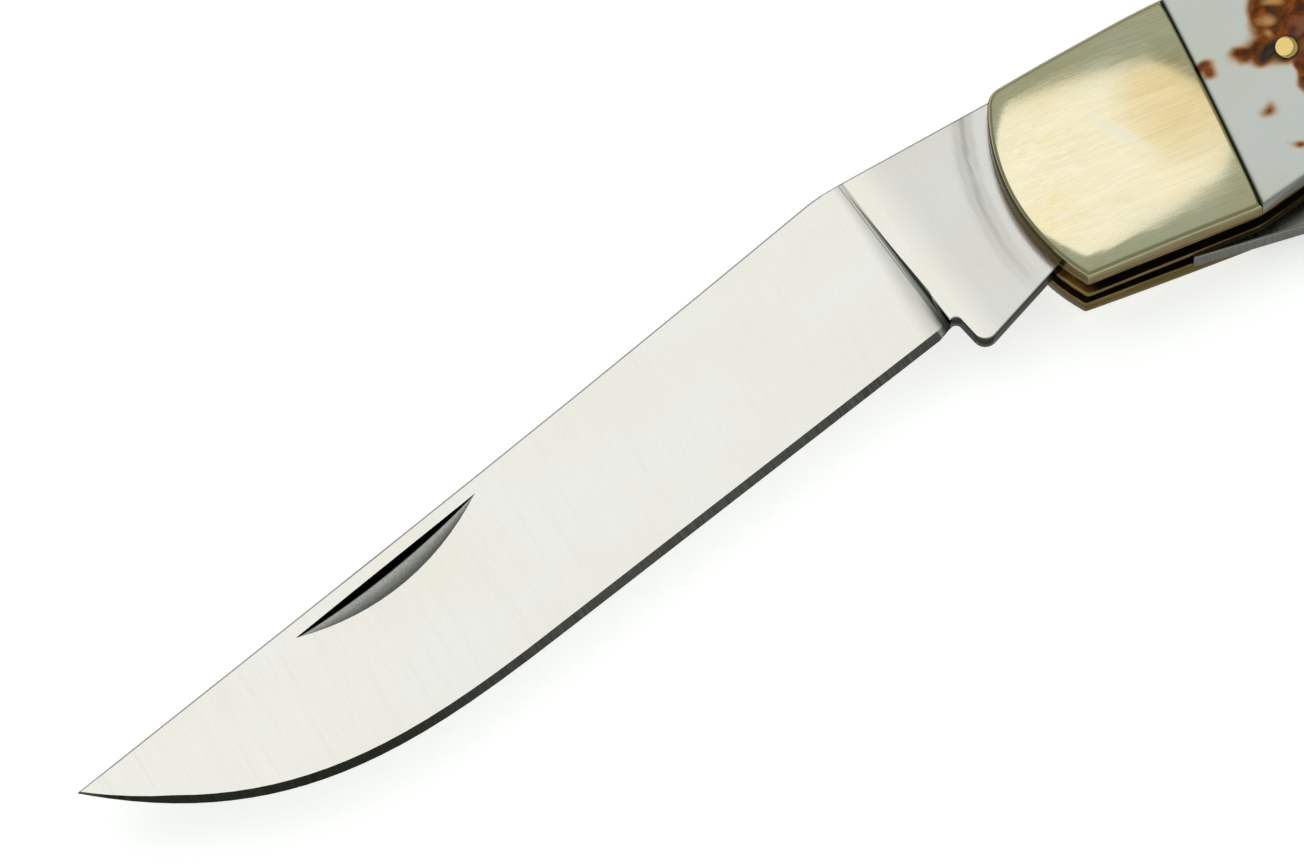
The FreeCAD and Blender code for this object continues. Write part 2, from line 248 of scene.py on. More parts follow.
def markCreases(shape, sharpTurn=creaseRule["plainTurn"], strip=creaseRule["strip"],
                reach=creaseRule["reach"]):
    # narrow fillets within reach of the pivot and rounded walls stay smooth, real creases are sharp
    for face in shape.faces:
        face.smooth = True
    for edge in shape.edges:
        if len(edge.link_faces) != 2:
            continue
        near = (edge.verts[0].co - pivot).xy.length < reach
        narrow = near and min(face.calc_area() for face in edge.link_faces) < strip * edge.calc_length()
        rounded = narrow or all(isWall(face) for face in edge.link_faces)
        edge.smooth = edge.calc_face_angle() < (creaseRule["roundTurn"] if rounded else sharpTurn)


def sliceAcross(shape, geometry, spot, normal):
    bmesh.ops.bisect_plane(shape, geom=geometry, dist=tiny, plane_co=spot, plane_no=normal)


def finishPiece(shape, pieceName, nodeName, material, evenFlats=False):
    mesh = bpy.data.meshes.new(pieceName)
    shape.to_mesh(mesh)
    shape.free()
    mesh.materials.append(material)
    piece = bpy.data.objects.new(pieceName, mesh)
    bpy.context.scene.collection.objects.link(piece)
    if evenFlats:
        normals = piece.modifiers.new("evenFlats", "WEIGHTED_NORMAL")
        normals.keep_sharp = True
        normals.weight = creaseRule["flatWeight"]
    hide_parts(nodeName)
    return piece


# blade steel: satin faces ground across the blade, a cooler tang with a painted highlight by the plunge, and an
# edge bevel, spine and walls painted dark, partly a coarser finish and partly painted shade
# here and below a noise is given as the lengths of its grains, its detail and its roughness

bladeFinish = {
    "shades": ((0.34, (0.78, 0.775, 0.745)), (0.62, (0.88, 0.875, 0.85))),
    "fineLines": ((0.11, 6.0, 4), 3, 0.55),
    "broadLines": ((0.8, 14, 9), 3, 0.6),
    "fineShare": 0.6,
    "cloud": ((11, 7, 7), 3, 0.55),
    "cloudSpan": (0.35, 0.7),
    "warm": (1.0, 0.975, 0.935),
    # by the pivot and by the plunge: the main blade's lighter tone by the plunge is a painted highlight, and the
    # folded spey's dark tones are painted shade
    "tang": {  # by the pivot, by the plunge
        "main_blade": ((0.83, 0.83, 0.835), (1.0, 0.99, 0.96)),
        "spey_blade": ((0.25, 0.25, 0.24), (0.25, 0.25, 0.24)),
    },
    "tangBlend": (-3.6, -0.5),
    "coarseLines": ((0.1, 2.5, 2.5), 3, 0.7),
    # the walls and the spine are painted dark, partly a darker unground finish and partly painted shade
    "wall": (0.07, 0.07, 0.068),
    "wallStreak": (0.5, 0.5, 0.5),
    "wallStreakShare": 0.5,
    "spine": (0.26, 0.26, 0.25),
    # the bevel's tones are partly its coarser grind and partly painted shade; bevelTip darkens it further towards
    # the tip
    "bevel": ((0.1, 0.098, 0.09), (0.22, 0.215, 0.2)),
    "bevelTip": (0.3, 0.31, 0.27),
    "bevelTipSpan": (-48.0, -72.0),
    "roughness": (0.14, 0.22),
    "markDepth": 0.001,
}
# how far a face looks up, or to the back, where one finish gives way to another
bladeTurns = {
    "bevel": (0.992, 0.965),
    "notBack": (0.06, 0.0),
    "nickRamp": (0.992, 0.98),
    "nickWall": (0.8, 0.6),
    "wall": (0.75, 0.45),
    "spine": (0.3, 0.6),
}
# millimetres from the pivot: the plunge leans back from its top, and the wheel's round ends ahead of it
plungeLine = {
    "reach": 17.65,
    "height": 8.3,
    "rake": math.radians(6.0),
    "edge": (0.05, -0.05),
    "roundEnd": (1.1, 1.0),
}
plungeShadow = {
    "tint": (0.3, 0.3, 0.28),
    "lowEnd": -6.0,
    "reach": (1.2, 2.6),
    "fade": (0.1, 1.0, 0.55, 0.0),
    "onset": (0.0, 0.15),
}
heelShadow = {"tint": (0.16, 0.16, 0.15), "reach": (1.05, 0.4), "height": (-1.5, -5.0)}
nailNick = {
    "centre": (-61.95, -0.493),
    "turn": math.radians(10.05),
    "halfLength": 8.95,
    "height": 1.75,
    "ends": 1.08,
    "endFade": (0.0, 0.04),
    "topFade": (-0.6, -0.3),
    "lowFade": (1.4, 1.2),
    # the near-black band by the wall is a painted shadow, and the light stops and their fall to dark towards the
    # lower edge are painted light and shade; the speckle is its own grain
    "shades": (
        (0.27, (0.02, 0.02, 0.018)),
        (0.31, (0.99, 0.93, 0.94)),
        (0.42, (0.97, 0.91, 0.92)),
        (0.65, (0.6, 0.56, 0.56)),
        (0.9, (0.3, 0.28, 0.28)),
    ),
    "speckle": ((0.13, 0.13, 0.13), 3, 0.7),
    "speckleSpan": (0.62, 0.36),
    "speckleTint": (0.72, 0.72, 0.7),
    # the nick's upper wall is painted near black as painted shade
    "wall": (0.012, 0.012, 0.011),
}
tangArcs = {
    "tint": (0.45, 0.45, 0.43),
    "centre": (9.5, -1.0),
    "radius": 19.4,
    "width": 1.25,
    "ragged": 0.7,
    "raggedGrain": ((0.5, 5, 5), 3, 0.6),
    "threadPace": 9.0,
    "threadShare": 0.15,
    "strength": 0.6,
    "patch": ((3, 4, 3), 2, 0.5),
    "patchSpan": (0.2, 0.55),
    "fade": (-7.0, 5.0, 0.3, 0.9),
}


def aheadOfPlunge(tree, x, y):
    # distance in front of the leaning line where the grinding starts
    drop = mathNode(tree, "SUBTRACT", plungeLine["height"], y)
    line = mathNode(tree, "MULTIPLY_ADD", drop, math.tan(plungeLine["rake"]), -plungeLine["reach"])
    return mathNode(tree, "SUBTRACT", line, x)


def plungeShade(tree, ahead, y):
    # soft grey that widens towards the choil, on the ground side only
    reach = between(tree, y, plungeLine["height"], plungeShadow["lowEnd"], *plungeShadow["reach"])
    fade = between(tree, mathNode(tree, "DIVIDE", ahead, reach), *plungeShadow["fade"])
    return product(tree, fade, between(tree, ahead, *plungeShadow["onset"]))


def nickRamp(tree, where):
    # 0 at the upper wall of the nail nick, 1 where its ramp runs out, and how surely a point is inside
    along, across = split(tree, mapped(tree, where, (*nailNick["centre"], 0), nailNick["turn"]))[:2]
    share = mathNode(tree, "DIVIDE", along, nailNick["halfLength"])
    run = mathNode(tree, "SUBTRACT", nailNick["ends"], product(tree, share, share))
    depth = mathNode(tree, "DIVIDE", across, product(tree, run, -nailNick["height"]))
    inside = between(tree, run, *nailNick["endFade"])
    inside = product(tree, inside, between(tree, depth, *nailNick["topFade"]))
    return depth, product(tree, inside, between(tree, depth, *nailNick["lowFade"]))


def darkTangArcs(tree, where, x, y):
    # faint darker arcs on the tang in front of the bolster
    fromX = mathNode(tree, "SUBTRACT", x, tangArcs["centre"][0])
    fromY = mathNode(tree, "SUBTRACT", y, tangArcs["centre"][1])
    radius = mathNode(tree, "SQRT", squareSum(tree, fromX, fromY))
    ragged = grain(tree, where, *tangArcs["raggedGrain"])
    radius = mathNode(tree, "MULTIPLY_ADD", ragged, tangArcs["ragged"], radius)
    middle = tangArcs["radius"] + tangArcs["ragged"] / 2
    off = mathNode(tree, "ABSOLUTE", mathNode(tree, "SUBTRACT", radius, middle))
    band = between(tree, off, tangArcs["width"], 0.0)
    wave = mathNode(tree, "SINE", product(tree, radius, tangArcs["threadPace"]))
    threads = mathNode(tree, "MULTIPLY_ADD", wave, tangArcs["threadShare"], tangArcs["strength"])
    patches = between(tree, grain(tree, where, *tangArcs["patch"]), *tangArcs["patchSpan"])
    patches = product(tree, patches, between(tree, y, *tangArcs["fade"]))
    return product(tree, product(tree, band, threads), patches)


def groundFaces(tree, where, x, y, ahead, lines, tangTonesWithPaintedLight):
    # the satin ground face, and behind the plunge the tang
    look = bladeFinish
    cloud = grain(tree, where, *look["cloud"])
    colour = ramp(tree, lines, look["shades"])
    colour = tinted(tree, between(tree, cloud, *look["cloudSpan"]), colour, look["warm"])
    colour = tinted(tree, plungeShade(tree, ahead, y), colour, plungeShadow["tint"])
    # the tang tone turns into a painted highlight next to the plunge on the main blade, and is painted shade on
    # the folded spey
    tang = tinted(tree, 1.0, colour, mixColour(tree, between(tree, ahead, *look["tangBlend"]), *tangTonesWithPaintedLight))
    tang = tinted(tree, darkTangArcs(tree, where, x, y), tang, tangArcs["tint"])
    heel = product(tree, between(tree, ahead, *heelShadow["reach"]), between(tree, y, *heelShadow["height"]))
    colour = tinted(tree, heel, colour, heelShadow["tint"])
    return mixColour(tree, between(tree, ahead, *plungeLine["edge"]), colour, tang)


def bladeSteel(name, turn, tangTonesWithPaintedLight):
    look = bladeFinish
    material, tree, shader = startMaterial(name, metallic=1.0)
    where = place(tree, turn)
    x, y = split(tree, where)[:2]
    fine = grain(tree, where, *look["fineLines"])
    broad = grain(tree, where, *look["broadLines"])
    lines = blended(tree, look["fineShare"], fine, broad)
    ahead = aheadOfPlunge(tree, x, y)
    colour = groundFaces(tree, where, x, y, ahead, lines, tangTonesWithPaintedLight)
    # what looks aside, coloured partly with painted light and shade: the edge bevel up to the wheel's round, the
    # nick, the spine and the walls
    up, back = facing(tree, turn)[:2]
    coarse = grain(tree, where, *look["coarseLines"])
    # the bevel's dark tones: part coarse grind, part painted shade
    bevel = mixColour(tree, between(tree, coarse, *noiseSpan), *look["bevel"])
    bevel = tinted(tree, between(tree, x, *look["bevelTipSpan"]), bevel, look["bevelTip"])
    bevel = mixColour(tree, between(tree, ahead, *plungeLine["roundEnd"]), bevel, colour)
    onBevel = between(tree, up, *bladeTurns["bevel"])
    onBevel = product(tree, onBevel, between(tree, back, *bladeTurns["notBack"]))
    colour = mixColour(tree, onBevel, colour, bevel)
    depth, inNick = nickRamp(tree, where)
    speckle = grain(tree, where, *nailNick["speckle"])
    nick = ramp(tree, depth, nailNick["shades"])
    nick = tinted(tree, between(tree, speckle, *nailNick["speckleSpan"]), nick, nailNick["speckleTint"])
    colour = mixColour(tree, product(tree, inNick, between(tree, up, *bladeTurns["nickRamp"])), colour, nick)
    # the nick's upper wall is painted near black: painted shade
    nickWall = product(tree, inNick, between(tree, up, *bladeTurns["nickWall"]))
    colour = mixColour(tree, nickWall, colour, nailNick["wall"])
    # dark tones for the walls and the spine, partly their unground finish and partly painted shade
    wall = mixColour(tree, between(tree, back, *bladeTurns["spine"]), look["wall"], look["spine"])
    streaks = between(tree, coarse, *noiseSpan, 0.0, look["wallStreakShare"])
    wall = tinted(tree, streaks, wall, look["wallStreak"])
    onWall = product(tree, between(tree, up, *bladeTurns["wall"]), mathNode(tree, "SUBTRACT", 1.0, inNick))
    colour = mixColour(tree, onWall, colour, wall)
    rough = between(tree, lines, *noiseSpan, *look["roughness"])
    finishMetal(tree, shader, colour, rough, lines, look["markDepth"])
    return material


# bolster brass: pale gold, brushed along the handle, with painted shade on the rounded rim, partly tarnish, and on
# the walls

brassFinish = {
    "shades": ((0.38, (0.79, 0.715, 0.5)), (0.6, (0.91, 0.835, 0.61))),
    "fineBrush": ((8.0, 0.065, 0.065), 3, 0.6),
    "broadBrush": ((10, 0.6, 0.6), 3, 0.6),
    "fineShare": 0.7,
    "brushTurn": math.radians(-8),
    "cloud": ((6, 4, 4), 3, 0.5),
    "cloudSpan": (0.42, 0.66),
    "orange": (1.0, 0.965, 0.87),
    "warm": (0.86, 0.77, 0.6),
    "scratch": ((3.0, 0.14, 0.4), 2, 0.5),
    "scratchTurn": math.radians(-38),
    "scratchSpan": (0.56, 0.7),
    "scratchPatch": ((3.6, 2.2, 3), 2, 0.5),
    "scratchPatchSpan": (0.5, 0.66),
    "scratchShare": 0.5,
    "scuff": (0.86, 0.86, 0.75),
    "scuffShare": 0.5,
    "scuffRoughness": 0.1,
    # the rim tint is painted shade where the crown rounds over, partly tarnish
    "rim": (0.5, 0.5, 0.43),
    "rimTurn": (0.97, 0.88),
    "streakSpan": (0.35, 0.65),
    # the walls are painted dark as painted shade, darker still low down and where they face the front
    "wall": ((0.2, 0.17, 0.095), (0.36, 0.31, 0.19)),
    "wallTurn": (0.75, 0.3),
    "paintedShadeLowWall": ((0.11, 0.082, 0.024), (0.25, 0.19, 0.065)),
    "lowShadeHeight": (5.0, 3.0),
    "paintedShadeFrontWall": ((0.13, 0.1, 0.055), (0.25, 0.205, 0.125)),
    "frontShadeTurn": (-0.5, -0.8),
    "roughness": (0.07, 0.13),
    "markDepth": 0.001,
}
scuffPlace = {"centre": (1.31, 0.35), "turn": math.radians(-61.5), "half": (3.6, 0.7), "soft": (1.6, 0.35)}
warmPlace = {"centre": (6.6, 0.2), "turn": math.radians(-70), "half": (5.6, 5.0), "soft": (1.9, 0.2)}
patchEdge = {"grain": ((1.5, 0.5, 1), 4, 0.6), "ragged": 0.9}


def placedPatch(tree, where, spot):
    # a soft ellipse with a ragged edge: the rubbed streak, or the warmer brass near the scale
    inPatch = mapped(tree, where, (*spot["centre"], 0), spot["turn"], (*spot["half"], 1))
    along, across = split(tree, inPatch)[:2]
    ragged = grain(tree, where, *patchEdge["grain"])
    squares = mathNode(tree, "MULTIPLY_ADD", ragged, patchEdge["ragged"], squareSum(tree, along, across))
    return between(tree, squares, *spot["soft"])


def scuffs(tree, where):
    # short scratches in patches, and the rubbed streak across the brushing
    look = brassFinish
    scratch = grain(tree, where, *look["scratch"], turn=look["scratchTurn"])
    patch = between(tree, grain(tree, where, *look["scratchPatch"]), *look["scratchPatchSpan"])
    scratches = product(tree, between(tree, scratch, *look["scratchSpan"]), patch)
    scratches = product(tree, scratches, look["scratchShare"])
    return mathNode(tree, "MAXIMUM", scratches, placedPatch(tree, where, scuffPlace))


def bolsterBrass():
    look = brassFinish
    material, tree, shader = startMaterial("brushedBolsterBrass", metallic=1.0)
    where = place(tree)
    height = split(tree, where)[2]
    fine = grain(tree, where, *look["fineBrush"], turn=look["brushTurn"])
    broad = grain(tree, where, *look["broadBrush"], turn=look["brushTurn"])
    lines = blended(tree, look["fineShare"], fine, broad)
    colour = ramp(tree, lines, look["shades"])
    cloud = grain(tree, where, *look["cloud"])
    colour = tinted(tree, between(tree, cloud, *look["cloudSpan"]), colour, look["orange"])
    colour = tinted(tree, placedPatch(tree, where, warmPlace), colour, look["warm"])
    scuff = scuffs(tree, where)
    colour = mixColour(tree, product(tree, scuff, look["scuffShare"]), colour, look["scuff"])
    up, butt = facing(tree)[::2]
    # the rounded rim is tinted darker: painted shade, partly tarnish
    colour = tinted(tree, between(tree, up, *look["rimTurn"]), colour, look["rim"])
    # the walls' dark tones are painted shade, darker on the lower and the front-facing walls
    streak = between(tree, fine, *look["streakSpan"])
    wall = mixColour(tree, streak, *look["wall"])
    paintedShadeLowWall = mixColour(tree, streak, *look["paintedShadeLowWall"])
    paintedShadeFrontWall = mixColour(tree, streak, *look["paintedShadeFrontWall"])
    wall = mixColour(tree, between(tree, height, *look["lowShadeHeight"]), wall, paintedShadeLowWall)
    wall = mixColour(tree, between(tree, butt, *look["frontShadeTurn"]), wall, paintedShadeFrontWall)
    colour = mixColour(tree, between(tree, up, *look["wallTurn"]), colour, wall)
    rough = between(tree, lines, *noiseSpan, *look["roughness"])
    rough = mathNode(tree, "MULTIPLY_ADD", scuff, look["scuffRoughness"], rough)
    finishMetal(tree, shader, colour, rough, lines, look["markDepth"])
    return material


# liner brass: duller and browner, with rolling lines

linerFinish = {
    "shades": ((0.34, (0.13, 0.088, 0.028)), (0.64, (0.31, 0.225, 0.095))),
    "lines": ((5, 0.3, 0.07), 4, 0.65),
    "tarnish": ((2.4, 1.6, 1.2), 4, 0.6),
    "lineShare": 0.5,
    # the flats inside the slots are painted dark: painted shade
    "inside": (0.04, 0.028, 0.012),
    "insideShadeTurn": (0.5, 0.9, 0.0, 0.9),
    # the upper slot's front end is painted lighter where light reaches in: painted light
    "paintedLitFront": (0.8, 0.5, 0.17),
    "paintedLitReach": (-4.9, -6.4),
    "paintedLitHeight": (4.0, 5.0),
    "roughness": (0.28, 0.45),
    "markDepth": 0.005,
}


def linerBrass():
    look = linerFinish
    material, tree, shader = startMaterial("dullLinerBrass", metallic=1.0)
    where = place(tree)
    lines = grain(tree, where, *look["lines"])
    tarnish = grain(tree, where, *look["tarnish"])
    shade = blended(tree, look["lineShare"], lines, tarnish)
    colour = ramp(tree, shade, look["shades"])
    # the flats inside the slots are painted dark as painted shade, and only the upper slot's front end is painted
    # lighter as painted light
    x, height = split(tree, where)[::2]
    paintedLitFront = product(tree, between(tree, x, *look["paintedLitReach"]), between(tree, height, *look["paintedLitHeight"]))
    inside = mixColour(tree, paintedLitFront, look["inside"], look["paintedLitFront"])
    colour = mixColour(tree, between(tree, facing(tree)[0], *look["insideShadeTurn"]), colour, inside)
    rough = between(tree, shade, *noiseSpan, *look["roughness"])
    finishMetal(tree, shader, colour, rough, lines, look["markDepth"])
    return material


# pin brass rubbed bright on the heads, and spring steel drawn along the back

pinFinish = {
    "shades": ((0.35, (0.78, 0.57, 0.19)), (0.6, (0.88, 0.67, 0.26))),
    "lines": ((0.9, 0.14, 0.3), 2, 0.5),
    "roughness": (0.16, 0.26),
    "markDepth": 0.001,
}
springFinish = {
    "shades": ((0.34, (0.34, 0.34, 0.33)), (0.64, (0.52, 0.52, 0.505))),
    "lines": ((7, 0.09, 0.09), 4, 0.65),
    "roughness": (0.24, 0.42),
    "markDepth": 0.005,
}


def linedMetal(name, look):
    material, tree, shader = startMaterial(name, metallic=1.0)
    lines = grain(tree, place(tree), *look["lines"])
    rough = between(tree, lines, *noiseSpan, *look["roughness"])
    finishMetal(tree, shader, ramp(tree, lines, look["shades"]), rough, lines, look["markDepth"])
    return material


# scale: polished pale grey resin with soft rust brown blotches

scaleFinish = {
    "ground": (0.64, 0.65, 0.63),
    "cream": (0.64, 0.63, 0.575),
    "creamCloud": ((5, 5, 5), 3, 0.5),
    "creamSpan": (0.45, 0.7),
    # the upright sides are tinted darker as painted shade
    "wall": (0.4, 0.42, 0.4),
    "wallTurn": (0.9, 0.3),
    "rim": (0.56, 0.36, 0.19),
    "orange": (0.27, 0.07, 0.005),
    "mottle": ((1.1, 0.8, 1.5), 4, 0.6),
    "mottleShades": ((0.36, (0.065, 0.02, 0.008)), (0.5, (0.155, 0.035, 0.003)), (0.62, (0.27, 0.07, 0.005))),
    "cloud": ((2.6, 1.9, 3), 3, 0.5),
    "plum": (0.19, 0.085, 0.055),
    "plumSpan": (0.52, 0.64, 0.0, 0.7),
    "amber": (0.6, 0.32, 0.11),
    "amberShare": 0.85,
    "amberSoft": (-0.35, 0.4),
    "amberSpan": (0.4, 0.3),
    "charcoal": (0.014, 0.02, 0.016),
    "charcoalSoft": (-0.35, 0.2),
    "streaks": ((0.9, 0.22, 1), 3, 0.6),
    "streakTurn": math.radians(20),
    "streakSpan": (0.3, 0.65, 0.75, 1.0),
    "sheen": 0.08,
    "roughness": (0.12, 0.2),
}
# placed marks on the upper scale: x and y from the pivot, half length, half width, turn in degrees
blotches = (
    (17.7, 2.5, 3.7, 3.4, 0),
    (13.9, 0.7, 1.5, 1.2, 0),
    (12.3, 1.15, 1.1, 0.62, -8),
    (14.55, 1.75, 0.75, 0.9, 0),
    (15.0, -0.35, 1.0, 0.8, 0),
    (15.75, -2.1, 0.85, 2.3, -14),
    (9.2, 1.85, 0.7, 0.48, 0),
    (9.45, 1.3, 0.5, 0.5, 0),
    (11.83, -3.46, 0.36, 0.36, 0),
    (12.6, -7.05, 0.6, 0.26, -30),
)
amberSpots = ((15.15, 2.55, 0.62, 0.36, -30), (14.5, 1.6, 0.26, 0.36, 0), (16.3, 3.6, 0.6, 0.35, -30))
# the last, round spot is a painted shadow ring around the front scale pin; the others are dark marks of the
# pattern
charcoalSpotsAndPinShadow = ((13.9, 0.25, 0.85, 0.5, 15), (14.6, -0.35, 0.9, 0.4, 0), (15.28, 0.0, 0.98, 0.98, 0))
markShape = {"height": 11.6, "halfHeight": 6, "merge": 0.5, "wobbleSize": 1.7, "wobble": 0.9}
blotchEdge = {
    "soft": (-0.24, 0.3),
    "rim": (-0.5, 0.1, 0.0, 0.75),
    "orange": (0.5, 0.1, 0.0, 0.75),
    "ripple": 0.55,
    "rippleGrain": ((1.3, 1.1, 3), 1, 0.4),
}
# blotches that are not placed: where they start behind the pivot, and on the lower scale below a height
freeBlotches = {
    "start": (17.5, 20.0),
    "below": (6.0, 5.0),
    "grain": ((9, 6, 40), 2, 0.45, 0.3),
    "gain": 14,
    "base": -7.9,
    "hold": 12,
}


def wobble(tree, where, size, amount):
    # the place shifted by smooth noise, so that placed marks lose their plain outline
    noise = tree.nodes.new("ShaderNodeTexNoise")
    noise.inputs["Scale"].default_value = 1
    noise.inputs["Detail"].default_value = 0
    centred = tree.nodes.new("ShaderNodeVectorMath")
    centred.operation = "SUBTRACT"
    centred.inputs[1].default_value = (noiseMiddle, noiseMiddle, noiseMiddle)
    shifted = tree.nodes.new("ShaderNodeVectorMath")
    shifted.operation = "MULTIPLY_ADD"
    shifted.inputs[1].default_value = (amount, amount, amount)
    tree.links.new(mapped(tree, where, lengths=(size, size, size)), noise.inputs["Vector"])
    tree.links.new(noise.outputs["Color"], centred.inputs[0])
    tree.links.new(centred.outputs["Vector"], shifted.inputs[0])
    tree.links.new(where, shifted.inputs[2])
    return shifted.outputs["Vector"]


def spotField(tree, where, spots):
    # roughly the distance in millimetres inside the nearest of the placed ellipses
    field = None
    for x, y, halfLength, halfWidth, turn in spots:
        centre = (x, y, markShape["height"])
        lengths = (halfLength, halfWidth, markShape["halfHeight"])
        inSpot = mapped(tree, where, centre, math.radians(turn), lengths)
        length = tree.nodes.new("ShaderNodeVectorMath")
        length.operation = "LENGTH"
        tree.links.new(inSpot, length.inputs[0])
        size = math.sqrt(halfLength * halfWidth)
        inside = mathNode(tree, "MULTIPLY_ADD", length.outputs["Value"], -size, size)
        field = inside if field is None else mathNode(tree, "SMOOTH_MAX", field, inside, markShape["merge"])
    return field


def blotchField(tree, where):
    # placed marks near the front of the upper scale, free ones over the rest of both scales
    x, height = split(tree, where)[::2]
    behind = between(tree, x, *freeBlotches["start"])
    rest = mathNode(tree, "MAXIMUM", behind, between(tree, height, *freeBlotches["below"]))
    noise = grain(tree, where, *freeBlotches["grain"])
    free = mathNode(tree, "MULTIPLY_ADD", noise, freeBlotches["gain"], freeBlotches["base"])
    free = mathNode(tree, "SUBTRACT", free, freeBlotches["hold"])
    free = mathNode(tree, "MULTIPLY_ADD", rest, freeBlotches["hold"], free)
    field = mathNode(tree, "SMOOTH_MAX", spotField(tree, where, blotches), free, markShape["merge"])
    ripple = mathNode(tree, "SUBTRACT", grain(tree, where, *blotchEdge["rippleGrain"]), noiseMiddle)
    return mathNode(tree, "MULTIPLY_ADD", ripple, blotchEdge["ripple"], field)


def blotchColour(tree, where, field, mottle):
    # mottled rust with plum clouds, amber and charcoal spots, and orange towards the edge
    look = scaleFinish
    cloud = grain(tree, where, *look["cloud"])
    colour = ramp(tree, mottle, look["mottleShades"])
    colour = mixColour(tree, between(tree, cloud, *look["plumSpan"]), colour, look["plum"])
    placed = between(tree, spotField(tree, where, amberSpots), *look["amberSoft"])
    behind = between(tree, split(tree, where)[0], *freeBlotches["start"])
    amber = product(tree, behind, between(tree, cloud, *look["amberSpan"]))
    amber = product(tree, mathNode(tree, "MAXIMUM", placed, amber), look["amberShare"])
    colour = mixColour(tree, amber, colour, look["amber"])
    streaks = grain(tree, where, *look["streaks"], turn=look["streakTurn"])
    # charcoal marks, and the painted shadow ring around the front scale pin
    charcoal = between(tree, spotField(tree, where, charcoalSpotsAndPinShadow), *look["charcoalSoft"])
    charcoal = product(tree, charcoal, between(tree, streaks, *look["streakSpan"]))
    colour = mixColour(tree, charcoal, colour, look["charcoal"])
    return mixColour(tree, between(tree, field, *blotchEdge["orange"]), colour, look["orange"])


def scaleResin():
    look = scaleFinish
    material, tree, shader = startMaterial("blotchedScale")
    where = wobble(tree, place(tree), markShape["wobbleSize"], markShape["wobble"])
    field = blotchField(tree, where)
    mottle = grain(tree, where, *look["mottle"])
    cream = grain(tree, where, *look["creamCloud"])
    colour = mixColour(tree, between(tree, cream, *look["creamSpan"]), look["ground"], look["cream"])
    colour = mixColour(tree, between(tree, field, *blotchEdge["rim"]), colour, look["rim"])
    inner = blotchColour(tree, where, field, mottle)
    colour = mixColour(tree, between(tree, field, *blotchEdge["soft"]), colour, inner)
    # the upright sides are tinted darker: painted shade
    colour = tinted(tree, between(tree, facing(tree)[0], *look["wallTurn"]), colour, look["wall"])
    plug(tree, shader.inputs["Base Color"], colour)
    plug(tree, shader.inputs["Roughness"], between(tree, mottle, *noiseSpan, *look["roughness"]))
    shader.inputs["Specular IOR Level"].default_value = look["sheen"]
    return material


finishes = {
    "spring_steel": linedMetal("drawnSpringSteel", springFinish),
    "bolster_brass": bolsterBrass(),
    "liner_brass": linerBrass(),
    "pin_brass": linedMetal("polishedPinBrass", pinFinish),
    "scale": scaleResin(),
}
bladeFinishes = {
    "main_blade": bladeSteel("satinMainBlade", 0.0, bladeFinish["tang"]["main_blade"]),
    "spey_blade": bladeSteel("satinSpeyBlade", closingTurn, bladeFinish["tang"]["spey_blade"]),
}
for name, node in nodes.items():
    node.data.materials.clear()
    node.data.materials.append(bladeFinishes.get(name) or finishes[slotOf[name]])
print("finishes ready")


# blades, with the outline edges eased so that spine, tang and kick catch the light

bladeEase = {
    "width": 0.15 * mm,
    "leastWall": 0.6 * mm,
    "creaseTurn": math.radians(7),
    "strip": 0.22 * mm,
    "tangReach": 21.5 * mm,
    "tipTaper": 7.0 * mm,
    "taperShare": 0.9,
    "edgeHalf": 0.08 * mm,
    "bevelWidth": 0.95 * mm,
}


def taperTip(shape):
    # the edge bevel narrows to nothing at the tip
    tip = min(shape.verts, key=lambda vert: vert.co.x).co.copy()
    edge = [vert.co.copy() for vert in shape.verts if abs(vert.co.z - tip.z) < bladeEase["edgeHalf"]]
    for vert in shape.verts:
        away = (vert.co - tip).length / bladeEase["tipTaper"]
        if away < 1 and abs(vert.co.z - tip.z) > bladeEase["edgeHalf"]:
            near = min(edge, key=lambda spot: (spot - vert.co).length)
            if (near - vert.co).length < bladeEase["bevelWidth"]:
                vert.co.xy += (near - vert.co).xy * (1 - away) * bladeEase["taperShare"]


def dressBlade(nodeName, pieceName):
    shape = copyOf(nodeName)
    if nodeName == "main_blade":
        taperTip(shape)
    ease(shape, outlineEdges(shape, bladeEase["leastWall"]), bladeEase["width"])
    markCreases(shape, bladeEase["creaseTurn"], bladeEase["strip"], bladeEase["tangReach"])
    piece = finishPiece(shape, pieceName, nodeName, bladeFinishes[nodeName], evenFlats=True)
    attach(piece, bodyOf[nodeName])


dressBlade("main_blade", "easedMainBlade")
dressBlade("spey_blade", "easedSpeyBlade")
print("blades dressed")


# bolsters and scales: the plan is taken from the face that lies on the liner, then raised and crowned

coverShape = {
    "backRadius": 400 * mm,
    "pivotDepth": 8.3 * mm,
    "inset": 0.03 * mm,
    "planTurn": math.radians(0.7),
    "cornerTurn": math.radians(40),
    "cornerClear": 0.6 * mm,
    "rimStep": 1.2 * mm,
    "rimSegments": 4,
    "gridStep": 0.45 * mm,
    "slopeStep": 0.01 * mm,
    "rollWidth": 1.3 * mm,
    "rollRadius": 5.0 * mm,
    "scaleFacing": 0.7,
    "creaseTurn": math.radians(50),
}
